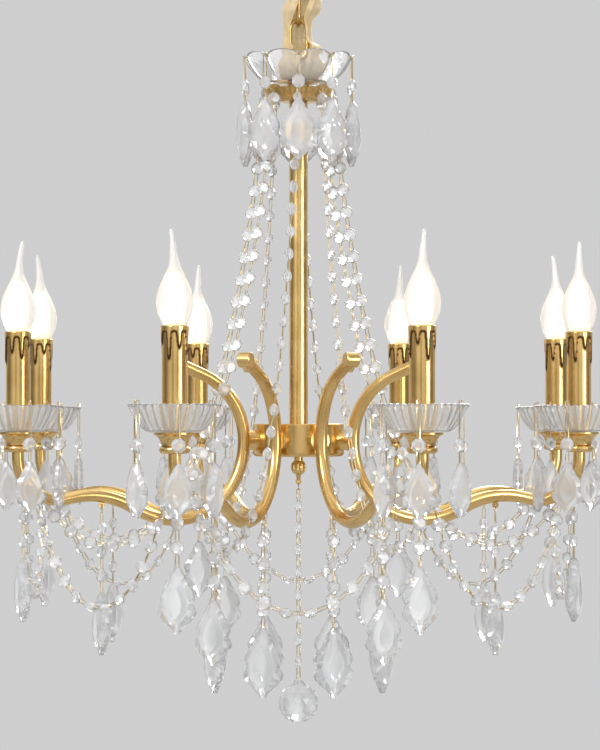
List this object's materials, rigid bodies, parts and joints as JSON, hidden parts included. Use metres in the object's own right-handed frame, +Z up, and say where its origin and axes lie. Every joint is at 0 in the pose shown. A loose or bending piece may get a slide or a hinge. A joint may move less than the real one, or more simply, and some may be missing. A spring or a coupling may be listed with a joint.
{
  "type": "crystal chandelier",
  "caption": "Scroll-armed brass chandelier with flame-bulb candle lamps on glass drip dishes, hung by a chain and strung with faceted crystal strands and leaf drops.",
  "frame": {"origin": "on the ceiling, on the chandelier's axis, centre of the two ceiling holes", "axes": "+Z up, -Y towards the pictured front, the ceiling holes lie along X"},
  "size_m": [0.6438, 0.6438, 0.7976],
  "materials": {
    "satin_brass": "satin antique gold",
    "candle_brass": "satin antique gold with darker drips",
    "crystal": "clear cut crystal",
    "bulb_glass": "frosted, lit from inside",
    "socket_porcelain": "unglazed",
    "bracket_steel": "zinc plated",
    "sleeve_satin": "champagne satin"
  },
  "bodies": {
    "ceiling_fitting": {"ceiling_bracket": "bracket_steel", "canopy": "satin_brass", "canopy_loop": "satin_brass"},
    "upper_link": {"chain_link_upper": "satin_brass"},
    "lower_link": {"chain_link_lower": "satin_brass", "chain_sleeve": "sleeve_satin"},
    "frame": {"stem_loop": "satin_brass", "top_dish": "crystal", "top_cup": "satin_brass", "stem": "satin_brass", "hub": "satin_brass", "hub_cover": "satin_brass", "arm_collars": "satin_brass", "hub_finial": "satin_brass", "arm_knobs": "satin_brass", "cup_nuts": "satin_brass", "candle_cups": "satin_brass", "candle_sleeves": "candle_brass", "lamp_sockets": "socket_porcelain", "long_strands": "crystal", "swags": "crystal", "hump_drops": "crystal", "end_drops": "crystal", "bobeche_drops": "crystal", "dish_drops": "crystal", "arm_1": "satin_brass", "arm_2": "satin_brass", "arm_3": "satin_brass", "arm_4": "satin_brass", "arm_5": "satin_brass", "arm_6": "satin_brass", "arm_7": "satin_brass", "arm_8": "satin_brass", "bobeche_1": "crystal", "bobeche_2": "crystal", "bobeche_3": "crystal", "bobeche_4": "crystal", "bobeche_5": "crystal", "bobeche_6": "crystal", "bobeche_7": "crystal", "bobeche_8": "crystal"},
    "pendant": {"centre_pendant": "crystal"},
    "bulb_1_body": {"bulb_1": "bulb_glass"},
    "bulb_2_body": {"bulb_2": "bulb_glass"},
    "bulb_3_body": {"bulb_3": "bulb_glass"},
    "bulb_4_body": {"bulb_4": "bulb_glass"},
    "bulb_5_body": {"bulb_5": "bulb_glass"},
    "bulb_6_body": {"bulb_6": "bulb_glass"},
    "bulb_7_body": {"bulb_7": "bulb_glass"},
    "bulb_8_body": {"bulb_8": "bulb_glass"},
    "low_drop_1_body": {"low_drop_1": "crystal"},
    "low_drop_2_body": {"low_drop_2": "crystal"},
    "low_drop_3_body": {"low_drop_3": "crystal"},
    "low_drop_4_body": {"low_drop_4": "crystal"},
    "low_drop_5_body": {"low_drop_5": "crystal"},
    "low_drop_6_body": {"low_drop_6": "crystal"},
    "low_drop_7_body": {"low_drop_7": "crystal"},
    "low_drop_8_body": {"low_drop_8": "crystal"}
  },
  "joints": [
    {"name": "upper_link_swing", "type": "hinge", "parent": "ceiling_fitting", "child": "upper_link", "pos_m": [0, 0, -0.04355], "axis": [0, 1, 0], "range_deg": [-12, 12]},
    {"name": "lower_link_swing", "type": "hinge", "parent": "upper_link", "child": "lower_link", "pos_m": [0, 0, -0.07835], "axis": [1, 0, 0], "range_deg": [-12, 12]},
    {"name": "frame_swing", "type": "hinge", "parent": "lower_link", "child": "frame", "pos_m": [0, 0, -0.11315], "axis": [0, 1, 0], "range_deg": [-12, 12], "deforming": ["chain_sleeve"]},
    {"name": "pendant_swing", "type": "hinge", "parent": "frame", "child": "pendant", "pos_m": [0, 0, -0.552], "axis": [0, 1, 0], "range_deg": [-8, 8]},
    {"name": "low_drop_1_swing", "type": "hinge", "parent": "frame", "child": "low_drop_1_body", "pos_m": [0.08474, 0.0351, -0.58572], "axis": [-0.3827, 0.9239, 0], "range_deg": [-10, 10]},
    {"name": "low_drop_2_swing", "type": "hinge", "parent": "frame", "child": "low_drop_2_body", "pos_m": [0.0351, 0.08474, -0.58572], "axis": [-0.9239, 0.3827, 0], "range_deg": [-10, 10]},
    {"name": "low_drop_3_swing", "type": "hinge", "parent": "frame", "child": "low_drop_3_body", "pos_m": [-0.0351, 0.08474, -0.58572], "axis": [-0.9239, -0.3827, 0], "range_deg": [-10, 10]},
    {"name": "low_drop_4_swing", "type": "hinge", "parent": "frame", "child": "low_drop_4_body", "pos_m": [-0.08474, 0.0351, -0.58572], "axis": [-0.3827, -0.9239, 0], "range_deg": [-10, 10]},
    {"name": "low_drop_5_swing", "type": "hinge", "parent": "frame", "child": "low_drop_5_body", "pos_m": [-0.08474, -0.0351, -0.58572], "axis": [0.3827, -0.9239, 0], "range_deg": [-10, 10]},
    {"name": "low_drop_6_swing", "type": "hinge", "parent": "frame", "child": "low_drop_6_body", "pos_m": [-0.0351, -0.08474, -0.58572], "axis": [0.9239, -0.3827, 0], "range_deg": [-10, 10]},
    {"name": "low_drop_7_swing", "type": "hinge", "parent": "frame", "child": "low_drop_7_body", "pos_m": [0.0351, -0.08474, -0.58572], "axis": [0.9239, 0.3827, 0], "range_deg": [-10, 10]},
    {"name": "low_drop_8_swing", "type": "hinge", "parent": "frame", "child": "low_drop_8_body", "pos_m": [0.08474, -0.0351, -0.58572], "axis": [0.3827, 0.9239, 0], "range_deg": [-10, 10]},
    {"name": "bulb_1_lift", "type": "slide", "parent": "frame", "child": "bulb_1_body", "axis": [0, 0, 1], "range_m": [0, 0.045]},
    {"name": "bulb_2_lift", "type": "slide", "parent": "frame", "child": "bulb_2_body", "axis": [0, 0, 1], "range_m": [0, 0.045]},
    {"name": "bulb_3_lift", "type": "slide", "parent": "frame", "child": "bulb_3_body", "axis": [0, 0, 1], "range_m": [0, 0.045]},
    {"name": "bulb_4_lift", "type": "slide", "parent": "frame", "child": "bulb_4_body", "axis": [0, 0, 1], "range_m": [0, 0.045]},
    {"name": "bulb_5_lift", "type": "slide", "parent": "frame", "child": "bulb_5_body", "axis": [0, 0, 1], "range_m": [0, 0.045]},
    {"name": "bulb_6_lift", "type": "slide", "parent": "frame", "child": "bulb_6_body", "axis": [0, 0, 1], "range_m": [0, 0.045]},
    {"name": "bulb_7_lift", "type": "slide", "parent": "frame", "child": "bulb_7_body", "axis": [0, 0, 1], "range_m": [0, 0.045]},
    {"name": "bulb_8_lift", "type": "slide", "parent": "frame", "child": "bulb_8_body", "axis": [0, 0, 1], "range_m": [0, 0.045]}
  ]
}
